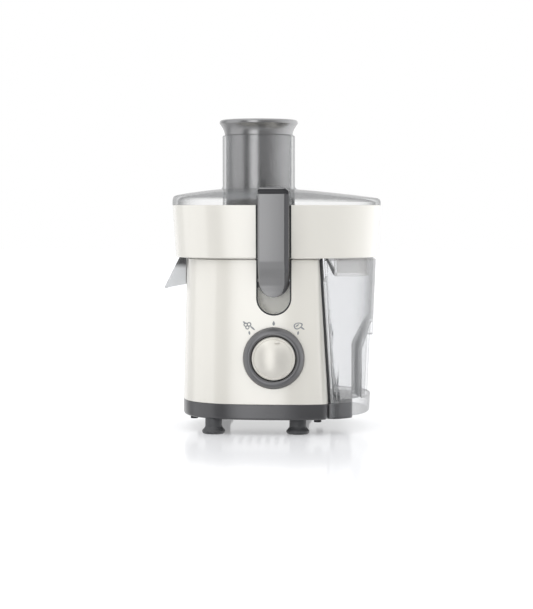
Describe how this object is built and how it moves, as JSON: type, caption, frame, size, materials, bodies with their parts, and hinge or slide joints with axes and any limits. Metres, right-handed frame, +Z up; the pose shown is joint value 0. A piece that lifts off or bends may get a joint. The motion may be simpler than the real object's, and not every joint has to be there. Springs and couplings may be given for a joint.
{
  "type": "centrifugal juicer",
  "caption": "Countertop centrifugal juicer with a clear feed-tube lid, pusher, spinning filter basket, locking clamps, speed knob, juice spout and slide-out pulp container.",
  "frame": {"origin": "on the floor, below the middle of the whole outline", "axes": "+X to the pulp container, +Y to the rear, +Z up"},
  "size_m": [0.189, 0.164, 0.2693],
  "materials": {
    "cream_plastic": "glossy moulded, cream white",
    "knob_plastic": "satin moulded, cream",
    "dark_plastic": "fine grained, dark grey",
    "dark_gloss_plastic": "glossy, dark grey",
    "black_plastic": "matte, black",
    "light_grey_plastic": "satin, light grey",
    "clamp_plastic": "satin, mid grey",
    "natural_plastic": "satin, natural white",
    "brown_plastic": "matte, brown phenolic",
    "yellow_plastic": "matte, ochre",
    "print_grey": "printed, mid grey",
    "clear_plastic": "clear moulded",
    "smoked_clear_plastic": "lightly smoked clear moulded",
    "dark_rubber": "matte rubber",
    "zinc_steel": "zinc plated",
    "bright_steel": "ground",
    "stainless_steel": "etched stainless sheet",
    "lamination_steel": "stacked laminations",
    "cast_aluminium": "cast",
    "copper": "enamelled copper",
    "carbon": "graphite block"
  },
  "bodies": {
    "base": {"motor_housing": "cream_plastic", "base_tray": "dark_plastic", "foot_front_left": "dark_rubber", "foot_front_right": "dark_rubber", "foot_rear_left": "dark_rubber", "foot_rear_right": "dark_rubber", "housing_screws": "zinc_steel", "front_recess_plate": "light_grey_plastic", "rear_recess_plate": "light_grey_plastic", "front_clamp_pin": "bright_steel", "rear_clamp_pin": "bright_steel", "knob_bezel": "dark_gloss_plastic", "speed_switch": "black_plastic", "switch_nut": "zinc_steel", "dial_marks": "print_grey", "safety_switches": "black_plastic", "motor_lower_bracket": "cast_aluminium", "motor_upper_bracket": "cast_aluminium", "lower_bearing": "bright_steel", "upper_bearing": "bright_steel", "stator_core": "lamination_steel", "field_coils": "copper", "brush_holders": "brown_plastic", "carbon_brushes": "carbon", "brush_springs": "bright_steel", "motor_screws": "zinc_steel", "motor_mounts": "dark_rubber", "mount_screws": "zinc_steel", "suppression_capacitor": "yellow_plastic", "shaft_seal": "dark_rubber", "cord_gland": "dark_rubber", "juice_bowl": "cream_plastic", "spout": "smoked_clear_plastic", "pulp_chute_lip": "dark_plastic", "lid": "clear_plastic"},
    "rotor": {"motor_shaft": "bright_steel", "armature_core": "lamination_steel", "armature_windings": "copper", "commutator": "copper", "cooling_fan": "black_plastic", "drive_coupling": "natural_plastic", "filter_hub": "natural_plastic", "grating_disc": "stainless_steel", "filter_mesh": "stainless_steel", "filter_rim": "natural_plastic"},
    "pusher": {"pusher": "dark_gloss_plastic"},
    "knob": {"knob_cap": "knob_plastic", "knob_spindle": "bright_steel"},
    "front_clamp": {"front_clamp": "clamp_plastic"},
    "rear_clamp": {"rear_clamp": "clamp_plastic"},
    "pulp_container": {"pulp_container": "clear_plastic"}
  },
  "joints": [
    {"name": "rotor_spin", "type": "hinge", "parent": "base", "child": "rotor", "pos_m": [-0.013, 0, 0.15], "axis": [0, 0, 1], "continuous": true},
    {"name": "pusher_lift", "type": "slide", "parent": "base", "child": "pusher", "axis": [0, 0, 1], "range_m": [0, 0.09]},
    {"name": "knob_turn", "type": "hinge", "parent": "base", "child": "knob", "pos_m": [0.003, -0.07, 0.066], "axis": [0, -1, 0], "range_deg": [-44, 44]},
    {"name": "front_clamp_swing", "type": "hinge", "parent": "base", "child": "front_clamp", "pos_m": [0.003, -0.0645, 0.1315], "axis": [1, 0, 0], "range_deg": [0, 65]},
    {"name": "rear_clamp_swing", "type": "hinge", "parent": "base", "child": "rear_clamp", "pos_m": [0.003, 0.0645, 0.1315], "axis": [-1, 0, 0], "range_deg": [0, 65]},
    {"name": "container_slide", "type": "slide", "parent": "base", "child": "pulp_container", "axis": [1, 0, 0], "range_m": [0, 0.11]}
  ]
}
